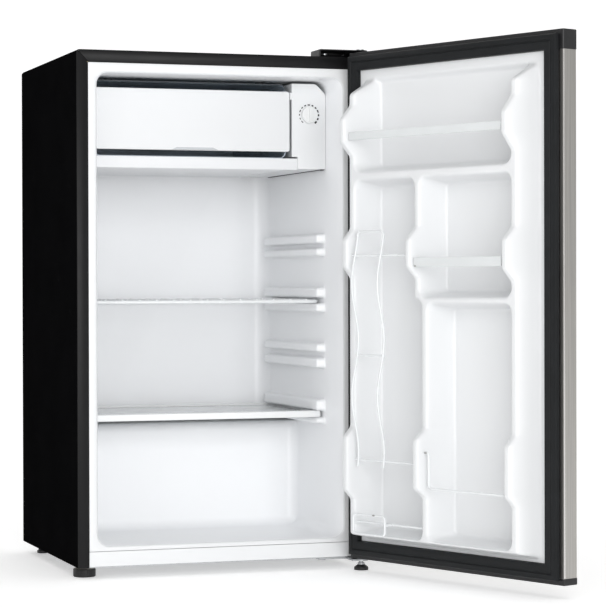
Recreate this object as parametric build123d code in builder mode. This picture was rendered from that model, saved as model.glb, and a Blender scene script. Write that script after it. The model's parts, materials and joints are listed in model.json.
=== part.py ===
"""Compact refrigerator with its door open: every separate piece, in millimetres, +Z up.

The origin lies on the floor under the middle of the open fridge's outline. Cabinet sketches are
placed by planes at the cabinet's front centre, door sketches by planes at the door's hinge-side edge.
"""
import os
from math import cos, pi, radians, sin

from build123d import *

# ---------------------------------------------------------------- driving dimensions
MIDLINE = -82.0  # the cabinet's centre line, in X
FRONT = 14.0  # the cabinet's front plane, in Y

WIDTH = 450.0
TOP = 790.0
BOTTOM = 17.0
DEPTH = 397.0
SHEET = 0.8  # outer steel
SIDE_FLANGE = 17.4
TOP_FLANGE = 18.6
HALF = WIDTH / 2
INSIDE = HALF - SHEET  # half width between the steel sides
MITRE_GAP = 0.5
CORNER = 4.0

# food compartment
WALL = 2.0  # liner thickness
CAVITY_HALF = 188.0
CAVITY_FLOOR = 49.0
CAVITY_TOP = 757.0
CAVITY_BACK = 367.0
HUMP_FRONT = 212.0
HUMP_TOP = 218.0
CAVITY_CORNER = 18.0
BACK_CORNER = 24.0
LIP_TOP = TOP - TOP_FLANGE - 0.1
LIP_HALF = HALF - SIDE_FLANGE - 0.1
LIP_BOTTOM = 41.0

# shelf ribs: the underside, the slot's bottom, the slot's top and the upper side of each pair
RIB_PAIRS = ((220.5, 229.5, 241.0, 258.0), (308.0, 323.0, 333.0, 346.0),
             (396.0, 409.3, 419.0, 434.0), (484.0, 496.0, 504.0, 518.0))
RIB_REACH = 14.0
RIB_FRONT = 65.0
RIB_FRONT_LEFT = 86.0
RIB_BACK = 350.0

# machine compartment at the lower back
STEP_FRONT = 236.0
STEP_TOP = 204.0
PAN = 1.2
PLATE_LEVEL = 24.0
PLATE = 1.5
COMPRESSOR = (60.0, 318.0)
FOOT_SPREAD = (90.0, 38.0)  # half spacing of the compressor's four bolts

# icebox
BOX_LEFT = -182.0
BOX_RIGHT = 126.0
BOX_LOW = 636.0
BOX_HIGH = 752.0
BOX_FRONT = 73.0
BOX_BACK = 352.0
ALUMINIUM = 1.5
FLAP_LEFT = -184.0
FLAP_RIGHT = 128.5
FLAP_LOW = 646.0
FLAP_HIGH = 739.5
FLAP_FACE = 60.0
FLAP_BACK = 67.0
FLAP_SKIN = 2.5
PIVOT = (66.0, 734.0)  # depth and height of the flap's pivot line
PEG_RADIUS = 2.5
TRAY_LEFT = -182.0
TRAY_RIGHT = 137.0
TRAY_LOW = 619.0
TRAY_RIM = 633.0

# control housing and dial
HOUSING_LEFT = 132.0
HOUSING_RIGHT = 187.6
HOUSING_STEP = 141.3
HOUSING_BACK = 343.0
DIAL = (160.0, 704.0)
KNOB_RADIUS = 12.8
SHAFT_RADIUS = 3.0

# door
OPENING_ANGLE = 111.5
DOOR_GAP = 10.8  # between the cabinet's front plane and the closed door's inner face
DOOR_THICK = 27.4
DOOR_TOP = 794.0
DOOR_BOTTOM = 18.6
SKIN = 0.6
TOP_CAP = 28.0
BOTTOM_CAP = 9.6
CAP_WALL = 2.0
HINGE_INSET = 10.4  # from the door's hinge-side edge to the hinge line
HINGE_DEPTH = 13.7  # from the door's inner face to the hinge line
PIN_RADIUS = 4.0
BUSH_RADIUS = 7.0
RUNNING = 0.05

# door liner
GASKET_OUT = 6.6
GASKET_IN = 29.0
GASKET_PROUD = 10.1
LINER_SHEET = 1.6
RIM_LEFT = 43.0  # outer sides of the raised rim, from the hinge-side edge
RIM_RIGHT = 404.0
RIM_WALL = 20.0
RIM_HEIGHT = 42.0
RIM_LOW = 56.0
RIM_HIGH = 748.0
RECESS = 7.4
FLOOR = 68.0  # top of the bottom ledge
SHELF_1 = (592.0, 612.0)
SHELF_2 = (408.0, 424.0)
DIVIDER_UPPER = (186.0, 205.0)
DIVIDER_LOWER = (202.0, 221.0)
POCKET_CORNER = 10.0

WIRE = 1.6


# ---------------------------------------------------------------- planes
def cabinet_plan(height):
    """Horizontal: x across from the centre line, y into the cabinet."""
    return Plane(origin=(MIDLINE, FRONT, height), x_dir=(1, 0, 0), z_dir=(0, 0, 1))


def cabinet_elevation(depth):
    """Upright, facing the front: x across, y up; an extrusion comes towards the front."""
    return Plane(origin=(MIDLINE, FRONT + depth, 0), x_dir=(1, 0, 0), z_dir=(0, -1, 0))


def cabinet_section(across):
    """Upright, seen from the side: x is depth, y is up; an extrusion goes to the right."""
    return Plane(origin=(MIDLINE + across, FRONT, 0), x_dir=(0, 1, 0), z_dir=(1, 0, 0))


ALONG = Vector(-cos(radians(OPENING_ANGLE)), -sin(radians(OPENING_ANGLE)), 0)
OUTWARD = Vector(sin(radians(OPENING_ANGLE)), -cos(radians(OPENING_ANGLE)), 0)
HINGE = Vector(MIDLINE + HALF - HINGE_INSET, FRONT - DOOR_GAP - HINGE_DEPTH, 0)
DOOR_CORNER = HINGE - ALONG * HINGE_INSET - OUTWARD * HINGE_DEPTH


def door_plan(height):
    """Horizontal: x along the door from its hinge-side edge, y out from its inner face."""
    return Plane(origin=DOOR_CORNER + Vector(0, 0, height), x_dir=ALONG, z_dir=(0, 0, 1))


def door_elevation(out):
    """Upright, at this distance out from the inner face; an extrusion goes inwards."""
    return Plane(origin=DOOR_CORNER + OUTWARD * out, x_dir=ALONG, z_dir=OUTWARD * -1)


def door_section(along):
    """Upright across the door: x is out from the inner face, y is up; extrudes along the door."""
    return Plane(origin=DOOR_CORNER + ALONG * along, x_dir=OUTWARD, z_dir=ALONG)


# ---------------------------------------------------------------- helpers
pieces = []


def finish(builder, name):
    """Label a finished piece and keep it for export."""
    builder.part.label = name
    pieces.append(builder.part)


def rectangle(left, right, low, high, radius=0.0, mode=Mode.ADD):
    """A rectangle given by its sides, inside a sketch."""
    with Locations(((left + right) / 2, (low + high) / 2)):
        if radius:
            RectangleRounded(right - left, high - low, radius, mode=mode)
        else:
            Rectangle(right - left, high - low, mode=mode)


def slab(plane, left, right, low, high, amount, radius=0.0, mode=Mode.ADD):
    """A rectangular block on a plane, inside a part."""
    with BuildSketch(plane) as base:
        rectangle(left, right, low, high, radius)
    extrude(base.sketch, amount=amount, mode=mode)


def discs(plane, centres, radius, amount, mode=Mode.ADD):
    """Round posts or holes on a plane, inside a part."""
    with BuildSketch(plane) as base:
        with Locations(*centres):
            Circle(radius)
    extrude(base.sketch, amount=amount, mode=mode)


def rod(plane, points, radius, corner=0.0, close=False):
    """A round wire or tube through points in a plane, inside a part."""
    with BuildLine(plane) as line:
        if corner:
            FilletPolyline(*points, radius=corner, close=close)
        else:
            Polyline(*points)
    with BuildSketch(Plane(origin=line.line @ 0, z_dir=line.line % 0)) as section:
        Circle(radius)
    sweep(section.sketch, path=line.line)


def curved_rod(plane, points, radius):
    """A round tube on a smooth curve through points, inside a part."""
    with BuildLine(plane) as line:
        Spline(*points)
    with BuildSketch(Plane(origin=line.line @ 0, z_dir=line.line % 0)) as section:
        Circle(radius)
    sweep(section.sketch, path=line.line)


# ---------------------------------------------------------------- cabinet shell
UPPER_SCREWS = ((170.0, 14.0), (170.0, 34.0), (206.0, 24.0))
LOWER_SCREWS = ((168.0, 22.0), (196.0, 34.0))

with BuildPart() as outer_wrapper:
    with BuildSketch(cabinet_elevation(DEPTH)) as profile:
        rectangle(-HALF, HALF, BOTTOM, TOP)
        fillet(profile.vertices().group_by(Axis.Y)[-1], CORNER)
    extrude(amount=DEPTH)
    with BuildSketch(cabinet_elevation(DEPTH)) as hollow:
        rectangle(-INSIDE, INSIDE, BOTTOM, TOP - SHEET)
        fillet(hollow.vertices().group_by(Axis.Y)[-1], CORNER - SHEET)
    extrude(amount=DEPTH - SHEET, mode=Mode.SUBTRACT)
    slab(cabinet_elevation(SHEET), SIDE_FLANGE - HALF, HALF - SIDE_FLANGE, BOTTOM, TOP - TOP_FLANGE,
         SHEET, mode=Mode.SUBTRACT)
    for side in (-1, 1):
        with BuildSketch(cabinet_elevation(SHEET)):
            with Locations((side * (HALF - SIDE_FLANGE / 2 - 0.6), TOP - TOP_FLANGE / 2 - 0.6)):
                Rectangle(MITRE_GAP, 23.0, rotation=-side * 43.0)
        extrude(amount=SHEET, mode=Mode.SUBTRACT)
    discs(cabinet_plan(TOP), UPPER_SCREWS, 2.6, -SHEET, mode=Mode.SUBTRACT)
finish(outer_wrapper, "outer_wrapper")

with BuildPart() as back_panel:
    slab(cabinet_elevation(DEPTH), -INSIDE, INSIDE, STEP_TOP, TOP - SHEET - CORNER, SHEET)
finish(back_panel, "back_panel")

FOOT = (-206.0, 40.0)
with BuildPart() as base_pan:
    with BuildSketch(cabinet_section(-INSIDE)):
        rectangle(1.0, STEP_FRONT, BOTTOM, BOTTOM + PAN)
        rectangle(STEP_FRONT - PAN, STEP_FRONT, BOTTOM, STEP_TOP)
        rectangle(STEP_FRONT - PAN, DEPTH - SHEET, STEP_TOP - PAN, STEP_TOP)
    extrude(amount=2 * INSIDE)
    discs(cabinet_plan(BOTTOM), (FOOT,), 4.4, PAN, mode=Mode.SUBTRACT)
    discs(cabinet_plan(BOTTOM), LOWER_SCREWS, 2.6, PAN, mode=Mode.SUBTRACT)
finish(base_pan, "base_pan")


def cavity(wall):
    """The food compartment's stepped space, grown on every side by the wall."""
    with BuildPart() as space:
        with BuildSketch(cabinet_section(-CAVITY_HALF - wall)):
            with BuildLine():
                Polyline((0, CAVITY_FLOOR - wall), (HUMP_FRONT + wall, CAVITY_FLOOR - wall),
                         (HUMP_FRONT + wall, HUMP_TOP - wall), (CAVITY_BACK + wall, HUMP_TOP - wall),
                         (CAVITY_BACK + wall, CAVITY_TOP + wall), (0, CAVITY_TOP + wall), close=True)
            make_face()
        extrude(amount=2 * (CAVITY_HALF + wall))
        upright = space.edges().filter_by(Axis.Z)
        fillet(upright.group_by(Axis.Y)[-1], BACK_CORNER + wall)
        fillet(space.edges().filter_by(Axis.Y).group_by(Axis.Z)[-1], CAVITY_CORNER + wall)
        fillet(space.edges().filter_by(Axis.Y).group_by(Axis.Z)[0], CAVITY_CORNER + wall)
    return space.part


cavity_outside = cavity(WALL)
cavity_inside = cavity(0.0)

with BuildPart() as inner_liner:
    slab(cabinet_elevation(WALL), -LIP_HALF, LIP_HALF, LIP_BOTTOM, LIP_TOP, WALL)
    add(cavity_outside)
    add(cavity_inside, mode=Mode.SUBTRACT)
    for side, rib_front in ((-1, RIB_FRONT_LEFT), (1, RIB_FRONT)):
        for under, slot_low, slot_high, over in RIB_PAIRS:
            for low, high in ((under, slot_low), (slot_high, over)):
                with BuildPart(mode=Mode.PRIVATE) as rib:
                    wall_side = side * (CAVITY_HALF + WALL / 2)
                    tip = side * (CAVITY_HALF - RIB_REACH)
                    slab(cabinet_elevation(RIB_BACK), min(wall_side, tip), max(wall_side, tip),
                         low, high, RIB_BACK - rib_front)
                    tip_face = rib.faces().sort_by(Axis.X)[0 if side > 0 else -1]
                    fillet(tip_face.edges(), 3.0)
                add(rib.part)
finish(inner_liner, "inner_liner")

with BuildPart() as cabinet_foam:
    with BuildSketch(cabinet_section(-INSIDE)):
        rectangle(WALL + 0.2, STEP_FRONT - PAN, BOTTOM + PAN, TOP - SHEET - CORNER)
        rectangle(STEP_FRONT - PAN, DEPTH - SHEET, STEP_TOP, TOP - SHEET - CORNER)
    extrude(amount=2 * INSIDE)
    add(cavity_outside, mode=Mode.SUBTRACT)
    slab(cabinet_elevation(15.0), -HALF, HALF, BOTTOM, 47.0 - 0.2, 15.0, mode=Mode.SUBTRACT)
    slab(cabinet_plan(TOP), 158.0, 218.0, 4.0, 44.0, -16.0, mode=Mode.SUBTRACT)
    slab(cabinet_plan(BOTTOM), 156.0, 208.0, 4.0, 44.0, 16.0, mode=Mode.SUBTRACT)
    slab(cabinet_plan(BOTTOM), FOOT[0] - 12, FOOT[0] + 12, FOOT[1] - 12, FOOT[1] + 12, 16.0,
         mode=Mode.SUBTRACT)
finish(cabinet_foam, "cabinet_foam")

with BuildPart() as sill_panel:
    slab(cabinet_elevation(14.0), -LIP_HALF, LIP_HALF, BOTTOM + PAN + 0.2, 40.6, 14.0)
    slab(cabinet_elevation(14.0), WALL - LIP_HALF, LIP_HALF - WALL, BOTTOM + PAN + 2.0, 38.6, 12.0,
         mode=Mode.SUBTRACT)
    front_edges = sill_panel.edges().filter_by(Axis.X).group_by(Axis.Y)[0]
    fillet(front_edges, 0.8)
finish(sill_panel, "sill_panel")

# ---------------------------------------------------------------- feet
KNURLS = 28
with BuildPart() as front_left_foot:
    discs(cabinet_plan(0), (FOOT,), 17.0, 12.5)
    chamfer(front_left_foot.edges().filter_by(GeomType.CIRCLE), 1.2)
    with BuildSketch(cabinet_plan(0)):
        with Locations(FOOT):
            with PolarLocations(17.2, KNURLS):
                Circle(0.9)
    extrude(amount=12.5, mode=Mode.SUBTRACT)
    discs(cabinet_plan(5.0), (FOOT,), 4.0, 7.5, mode=Mode.SUBTRACT)
finish(front_left_foot, "front_left_foot")

with BuildPart() as front_left_stud:
    discs(cabinet_plan(5.0), (FOOT,), 4.0, 26.0)
finish(front_left_stud, "front_left_stud")

with BuildPart() as foot_weld_nut:
    with BuildSketch(cabinet_plan(BOTTOM + PAN)):
        with Locations(FOOT):
            RegularPolygon(7.5, 6)
            Circle(4.0 + RUNNING, mode=Mode.SUBTRACT)
    extrude(amount=6.5)
finish(foot_weld_nut, "foot_weld_nut")

BRACKET = 2.6
BRACKET_TOP = BOTTOM - 0.05
HINGE_SPOT = (HALF - HINGE_INSET, -DOOR_GAP - HINGE_DEPTH)
with BuildPart() as front_right_foot:
    with BuildSketch(cabinet_section(HINGE_SPOT[0])):
        with BuildLine():
            axis_depth = HINGE_SPOT[1]
            Polyline((axis_depth, 0), (axis_depth + 11, 0), (axis_depth + 11, 4.5),
                     (axis_depth + 5.5, 8.5), (axis_depth + 5.5, 11.0), (axis_depth + 3.5, 11.0),
                     (axis_depth + 3.5, 17.5), (axis_depth, 17.5), close=True)
        make_face()
    revolve(axis=Axis((MIDLINE + HINGE_SPOT[0], FRONT + axis_depth, 0), (0, 0, 1)))
finish(front_right_foot, "front_right_foot")

with BuildPart() as rear_feet:
    for side in (-1, 1):
        discs(cabinet_plan(0), ((side * 200.0, 362.0),), 9.0, 5.0)
        discs(cabinet_plan(5.0), ((side * 200.0, 362.0),), 7.0, PLATE_LEVEL - 5.0)
finish(rear_feet, "rear_feet")

# ---------------------------------------------------------------- hinges
TONGUE_LEVEL = DOOR_TOP + 1.0
HINGE_PLATE = 3.0
with BuildPart() as upper_hinge_bracket:
    with BuildSketch(cabinet_plan(TOP)):
        rectangle(160.0, 216.0, 4.0, 44.0)
        with Locations(*UPPER_SCREWS):
            Circle(2.6, mode=Mode.SUBTRACT)
    extrude(amount=HINGE_PLATE)
    slab(cabinet_plan(TOP), 199.0, 216.0, 4.0, 8.0, TONGUE_LEVEL + HINGE_PLATE - TOP)
    with BuildSketch(cabinet_plan(TONGUE_LEVEL)):
        rectangle(199.0, 222.0, -30.0, 8.0)
        with Locations(HINGE_SPOT):
            Circle(11.0)
            Circle(PIN_RADIUS, mode=Mode.SUBTRACT)
    extrude(amount=HINGE_PLATE)
finish(upper_hinge_bracket, "upper_hinge_bracket")

PIN_END = DOOR_TOP - 13.0
with BuildPart() as upper_hinge_pin:
    discs(cabinet_plan(PIN_END), (HINGE_SPOT,), PIN_RADIUS, TONGUE_LEVEL + HINGE_PLATE - PIN_END)
    discs(cabinet_plan(TONGUE_LEVEL + HINGE_PLATE), (HINGE_SPOT,), 6.0, 1.6)
finish(upper_hinge_pin, "upper_hinge_pin")

COVER = 11.6
with BuildPart() as upper_hinge_cover:
    slab(cabinet_plan(TOP), 158.0, 224.0, 0.5, 47.0, COVER, radius=4.0)
    chamfer(upper_hinge_cover.edges().group_by(Axis.Z)[-1], 1.0)
    slab(cabinet_plan(TOP), 159.6, 222.4, -2.0, 45.4, COVER - 1.6, mode=Mode.SUBTRACT)
finish(upper_hinge_cover, "upper_hinge_cover")

with BuildPart() as hinge_backing_plate:
    with BuildSketch(cabinet_plan(TOP - SHEET - 2.5)):
        rectangle(160.0, 216.0, 6.0, 42.0)
        with Locations(*UPPER_SCREWS):
            Circle(2.5, mode=Mode.SUBTRACT)
    extrude(amount=2.5)
finish(hinge_backing_plate, "hinge_backing_plate")

with BuildPart() as lower_hinge_bracket:
    with BuildSketch(cabinet_plan(BRACKET_TOP)):
        rectangle(156.0, 216.0, 4.0, 44.0)
        rectangle(199.0, 222.0, -30.0, 10.0)
        with Locations(HINGE_SPOT):
            Circle(11.0)
            Circle(3.5 + RUNNING, mode=Mode.SUBTRACT)
        with Locations(*LOWER_SCREWS):
            Circle(2.6, mode=Mode.SUBTRACT)
    extrude(amount=-BRACKET)
finish(lower_hinge_bracket, "lower_hinge_bracket")

PIN_BASE = 18.0
with BuildPart() as lower_hinge_pin:
    discs(cabinet_plan(PIN_BASE), (HINGE_SPOT,), PIN_RADIUS, 16.0)
    with BuildSketch(cabinet_plan(BRACKET_TOP)):
        with Locations(HINGE_SPOT):
            Circle(6.5)
            Circle(3.5 + RUNNING, mode=Mode.SUBTRACT)
    extrude(amount=PIN_BASE - BRACKET_TOP)
finish(lower_hinge_pin, "lower_hinge_pin")

with BuildPart() as hinge_screws:
    discs(cabinet_plan(TOP + HINGE_PLATE), UPPER_SCREWS, 4.6, 2.4)
    discs(cabinet_plan(TOP + HINGE_PLATE), UPPER_SCREWS, 2.5, -HINGE_PLATE - SHEET - 2.5)
    discs(cabinet_plan(BRACKET_TOP - BRACKET), LOWER_SCREWS, 4.6, -2.4)
    discs(cabinet_plan(BRACKET_TOP - BRACKET), LOWER_SCREWS, 2.5, BRACKET + PAN + 4.0)
finish(hinge_screws, "hinge_screws")

# ---------------------------------------------------------------- icebox
with BuildPart() as evaporator:
    slab(cabinet_elevation(BOX_BACK), BOX_LEFT, BOX_RIGHT, BOX_LOW, BOX_HIGH, BOX_BACK - BOX_FRONT,
         radius=10.0)
    slab(cabinet_elevation(BOX_BACK - ALUMINIUM), BOX_LEFT + ALUMINIUM, BOX_RIGHT - ALUMINIUM,
         BOX_LOW + ALUMINIUM, BOX_HIGH - ALUMINIUM, BOX_BACK, radius=10.0 - ALUMINIUM,
         mode=Mode.SUBTRACT)
finish(evaporator, "evaporator")

with BuildPart() as evaporator_spacers:
    spots = [(x, y) for x in (-150.0, 95.0) for y in (110.0, 310.0)]
    discs(cabinet_plan(BOX_HIGH), spots, 7.0, CAVITY_TOP - BOX_HIGH)
finish(evaporator_spacers, "evaporator_spacers")

with BuildPart() as flap_brackets:
    for left, right in ((-CAVITY_HALF, FLAP_LEFT - 0.5), (FLAP_RIGHT + 0.5, HOUSING_LEFT)):
        with BuildSketch(cabinet_section(left)):
            rectangle(59.0, 78.0, 727.0, 738.6, radius=3.0)
            with Locations(PIVOT):
                Circle(PEG_RADIUS + RUNNING, mode=Mode.SUBTRACT)
        extrude(amount=right - left)
finish(flap_brackets, "flap_brackets")

with BuildPart() as freezer_flap:
    slab(cabinet_elevation(FLAP_BACK), FLAP_LEFT, FLAP_RIGHT, FLAP_LOW, FLAP_HIGH,
         FLAP_BACK - FLAP_FACE, radius=4.0)
    chamfer(freezer_flap.faces().sort_by(Axis.Y)[0].edges(), 0.8)
    slab(cabinet_elevation(FLAP_BACK), FLAP_LEFT + 2, FLAP_RIGHT - 2, FLAP_LOW + 2, FLAP_HIGH - 2,
         FLAP_BACK - FLAP_FACE - FLAP_SKIN, radius=2.0, mode=Mode.SUBTRACT)
    slab(cabinet_elevation(FLAP_BACK), -72.0, 22.0, FLAP_LOW + 1, FLAP_LOW + 8,
         FLAP_BACK - FLAP_FACE - FLAP_SKIN)
    with BuildSketch(cabinet_elevation(FLAP_FACE + FLAP_SKIN)):
        Polygon((-66.0, FLAP_LOW - 1), (16.0, FLAP_LOW - 1), (4.0, FLAP_LOW + 4.5),
                (-54.0, FLAP_LOW + 4.5), align=None)
    extrude(amount=FLAP_SKIN + 1, mode=Mode.SUBTRACT)
    for left, right in ((-CAVITY_HALF + 0.4, FLAP_LEFT + 2), (FLAP_RIGHT - 2, HOUSING_LEFT - 0.4)):
        with BuildSketch(cabinet_section(left)):
            with Locations(PIVOT):
                Circle(PEG_RADIUS)
        extrude(amount=right - left)
finish(freezer_flap, "freezer_flap")

with BuildPart() as drip_tray:
    slab(cabinet_plan(TRAY_LOW), TRAY_LEFT, TRAY_RIGHT, FLAP_FACE + 2, BOX_BACK - 2,
         TRAY_RIM - TRAY_LOW)
    slab(cabinet_plan(TRAY_LOW + 2), TRAY_LEFT + 1.5, TRAY_RIGHT - 1.5, FLAP_FACE + 4.5,
         BOX_BACK - 3.5, TRAY_RIM, mode=Mode.SUBTRACT)
    slab(cabinet_elevation(FLAP_FACE + 3), -187.0, 141.0, 618.0, 635.6, 3.0, radius=1.0)
    for left, right in ((TRAY_LEFT - 3.2, TRAY_LEFT + 1), (TRAY_RIGHT - 1, TRAY_RIGHT + 3.2)):
        slab(cabinet_plan(TRAY_RIM), left, right, FLAP_FACE + 4, BOX_BACK - 2, -1.5)
    for number in range(9):
        rib_depth = 84.0 + number * 30.0
        slab(cabinet_plan(TRAY_LOW), -172.0, 127.0, rib_depth, rib_depth + 3, -1.0)
finish(drip_tray, "drip_tray")

with BuildPart() as tray_rails:
    for left, right in ((-CAVITY_HALF, TRAY_LEFT - 0.4), (TRAY_RIGHT + 0.4, HOUSING_STEP)):
        slab(cabinet_plan(627.0), left, right, FLAP_FACE + 8, HOUSING_BACK - 3, 4.2)
finish(tray_rails, "tray_rails")


# ---------------------------------------------------------------- control housing and dial
def housing_outline(inset):
    """The housing's front outline, moved in from every side."""
    Polygon((HOUSING_LEFT + inset, 638.2 + inset), (HOUSING_LEFT + inset, 752.5 - inset),
            (HOUSING_RIGHT - 16.0, 752.5 - inset), (HOUSING_RIGHT - inset, 736.5),
            (HOUSING_RIGHT - inset, 619.5 + inset), (HOUSING_STEP + inset, 619.5 + inset),
            (HOUSING_STEP + inset, 638.2 + inset), align=None)


with BuildPart() as control_housing:
    with BuildSketch(cabinet_elevation(HOUSING_BACK)) as outline:
        housing_outline(0.0)
        upper_right = [v for v in outline.vertices() if v.Y > DIAL[1] and v.X > DIAL[0]]
        fillet(upper_right, 9.0)
    extrude(amount=HOUSING_BACK - FLAP_FACE)
    with BuildSketch(cabinet_elevation(HOUSING_BACK)):
        housing_outline(WALL)
    extrude(amount=HOUSING_BACK - FLAP_FACE - WALL, mode=Mode.SUBTRACT)
    discs(cabinet_elevation(FLAP_FACE + WALL), (DIAL,), 5.2, WALL, mode=Mode.SUBTRACT)
finish(control_housing, "control_housing")

with BuildPart() as thermostat:
    slab(cabinet_elevation(98.0), DIAL[0] - 17, DIAL[0] + 17, DIAL[1] - 16, DIAL[1] + 16, 34.0)
    discs(cabinet_elevation(64.0), (DIAL,), 5.0, 3.0)
    discs(cabinet_elevation(76.0), (DIAL,), SHAFT_RADIUS + RUNNING, 16.0, mode=Mode.SUBTRACT)
finish(thermostat, "thermostat")

KNOB_BACK = FLAP_FACE - 0.5
with BuildPart() as dial:
    discs(cabinet_elevation(KNOB_BACK), (DIAL,), KNOB_RADIUS, 7.0)
    fillet(dial.edges().filter_by(GeomType.CIRCLE).sort_by(Axis.Y)[0], 1.2)
    slab(cabinet_elevation(KNOB_BACK - 6.5), DIAL[0] - 2.4, DIAL[0] + 2.4, DIAL[1] - 11.0,
         DIAL[1] + 11.0, 4.0, radius=1.5)
    discs(cabinet_elevation(KNOB_BACK), (DIAL,), SHAFT_RADIUS, 4.5, mode=Mode.SUBTRACT)
finish(dial, "dial")

with BuildPart() as dial_shaft:
    discs(cabinet_elevation(74.0), (DIAL,), SHAFT_RADIUS, 74.0 - KNOB_BACK + 4.5)
finish(dial_shaft, "dial_shaft")

# ---------------------------------------------------------------- shelves
SHELF_HALF = 184.5
SHELF_FRONT = 82.0
SHELF_BACK = 350.0
FRAME_WIRE = 2.75
WIRE_LEVEL = 412.5
WIRE_STEP = 27.0
with BuildPart() as upper_shelf:
    edge = SHELF_HALF - FRAME_WIRE
    loop = ((edge, SHELF_FRONT), (edge, SHELF_BACK), (-edge, SHELF_BACK), (-edge, SHELF_FRONT))
    rod(cabinet_plan(WIRE_LEVEL), loop, FRAME_WIRE, corner=10.0, close=True)
    for number in range(-6, 7):
        rod(cabinet_plan(WIRE_LEVEL + 2.4), ((number * WIRE_STEP, SHELF_FRONT - 1.5),
                                             (number * WIRE_STEP, SHELF_BACK + 1.5)), 1.5)
    for stay in (SHELF_FRONT + 90.0, SHELF_FRONT + 180.0):
        rod(cabinet_plan(WIRE_LEVEL), ((-edge, stay), (edge, stay)), 2.0)
finish(upper_shelf, "upper_shelf")

GLASS_LOW = 232.4
GLASS = 4.0
with BuildPart() as lower_shelf_glass:
    slab(cabinet_plan(GLASS_LOW), -183.0, 183.0, 84.0, 351.0, GLASS, radius=4.0)
finish(lower_shelf_glass, "lower_shelf_glass")

with BuildPart() as lower_shelf_trims:
    for front, back in ((79.0, 91.0), (344.0, 354.0)):
        slab(cabinet_plan(230.0), -SHELF_HALF, SHELF_HALF, front, back, 10.4)
    fillet(lower_shelf_trims.edges().filter_by(Axis.X), 1.5)
    slab(cabinet_plan(GLASS_LOW), -183.2, 183.2, 83.8, 351.2, GLASS, mode=Mode.SUBTRACT)
finish(lower_shelf_trims, "lower_shelf_trims")

# ---------------------------------------------------------------- cooling circuit
BOLTS = [(COMPRESSOR[0] + i * FOOT_SPREAD[0], COMPRESSOR[1] + j * FOOT_SPREAD[1])
         for i in (-1, 1) for j in (-1, 1)]
with BuildPart() as compressor_plate:
    slab(cabinet_plan(PLATE_LEVEL), -INSIDE, INSIDE, STEP_FRONT + 2, DEPTH - 1, PLATE)
    slab(cabinet_elevation(STEP_FRONT + 2 + PLATE), -INSIDE, INSIDE, PLATE_LEVEL, 40.0, PLATE)
    slab(cabinet_elevation(DEPTH - 1), -INSIDE, INSIDE, PLATE_LEVEL, 34.0, PLATE)
    discs(cabinet_plan(PLATE_LEVEL), BOLTS, 4.3, PLATE, mode=Mode.SUBTRACT)
finish(compressor_plate, "compressor_plate")

PLATE_TOP = PLATE_LEVEL + PLATE
GROMMET = 14.0
FEET_LEVEL = PLATE_TOP + GROMMET
with BuildPart() as compressor_grommets:
    discs(cabinet_plan(PLATE_TOP), BOLTS, 11.0, GROMMET)
    discs(cabinet_plan(PLATE_TOP + 5.0), BOLTS, 11.0, 3.0, mode=Mode.SUBTRACT)
    discs(cabinet_plan(PLATE_TOP + 5.0), BOLTS, 8.5, 3.0)
    discs(cabinet_plan(PLATE_TOP), BOLTS, 4.3, GROMMET, mode=Mode.SUBTRACT)
finish(compressor_grommets, "compressor_grommets")

with BuildPart() as compressor_bolts:
    discs(cabinet_plan(PLATE_LEVEL - 4.0), BOLTS, 4.0, FEET_LEVEL + 9.0 - PLATE_LEVEL)
    with BuildSketch(cabinet_plan(FEET_LEVEL + 3.2)):
        with Locations(*BOLTS):
            RegularPolygon(7.5, 6)
    extrude(amount=5.0)
finish(compressor_bolts, "compressor_bolts")

SHELL_LOW = FEET_LEVEL + 3.0
SHELL_HIGH = 184.0
STUB_TOP = 188.0
STUB = (COMPRESSOR[0] - 30.0, 356.0)
with BuildPart() as compressor:
    with BuildSketch(cabinet_plan(SHELL_LOW)):
        with Locations(COMPRESSOR):
            RectangleRounded(160.0, 118.0, 56.0)
    extrude(amount=SHELL_HIGH - SHELL_LOW)
    fillet(compressor.edges().group_by(Axis.Z)[-1], 34.0)
    fillet(compressor.edges().group_by(Axis.Z)[0], 16.0)
    with BuildSketch(cabinet_plan(118.0)):
        with Locations(COMPRESSOR):
            RectangleRounded(166.0, 124.0, 59.0)
    extrude(amount=5.0)
    with BuildSketch(cabinet_plan(FEET_LEVEL)):
        with Locations(COMPRESSOR):
            RectangleRounded(206.0, 100.0, 10.0)
    extrude(amount=3.2)
    discs(cabinet_plan(FEET_LEVEL), BOLTS, 4.3, 3.2, mode=Mode.SUBTRACT)
    discs(cabinet_plan(150.0), (STUB, (80.0, 300.0)), 4.0, STUB_TOP - 150.0)
finish(compressor, "compressor")

with BuildPart() as relay_cover:
    slab(cabinet_section(COMPRESSOR[0] + 84.0), 290.0, 346.0, 62.0, 112.0, 36.0, radius=6.0)
    fillet(relay_cover.faces().sort_by(Axis.X)[-1].edges(), 3.0)
    discs(cabinet_plan(62.0), ((COMPRESSOR[0] + 102.0, 318.0),), 4.0, 10.0, mode=Mode.SUBTRACT)
finish(relay_cover, "relay_cover")

COIL_DEPTH = DEPTH + 9.5
COIL_HALF = 188.0
COIL_LOW = 252.0
COIL_INLET = 222.0
COIL_STEP = 46.0
PASSES = 11
with BuildPart() as condenser_tube:
    track = [(-COIL_HALF, COIL_INLET)]
    for number in range(PASSES):
        level = COIL_LOW + number * COIL_STEP
        reach = -COIL_HALF if number % 2 else COIL_HALF
        track += [(-reach, level), (reach, level)]
    rod(cabinet_elevation(COIL_DEPTH), track, 2.4, corner=COIL_STEP / 2 - 0.5)
finish(condenser_tube, "condenser_tube")

with BuildPart() as condenser_wires:
    for number in range(-8, 9):
        for offset in (-3.3, 3.3):
            discs(cabinet_plan(COIL_LOW - 12.0), ((number * 19.0, COIL_DEPTH + offset),), 0.8,
                  (PASSES - 1) * COIL_STEP + 24.0)
finish(condenser_wires, "condenser_wires")

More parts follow.
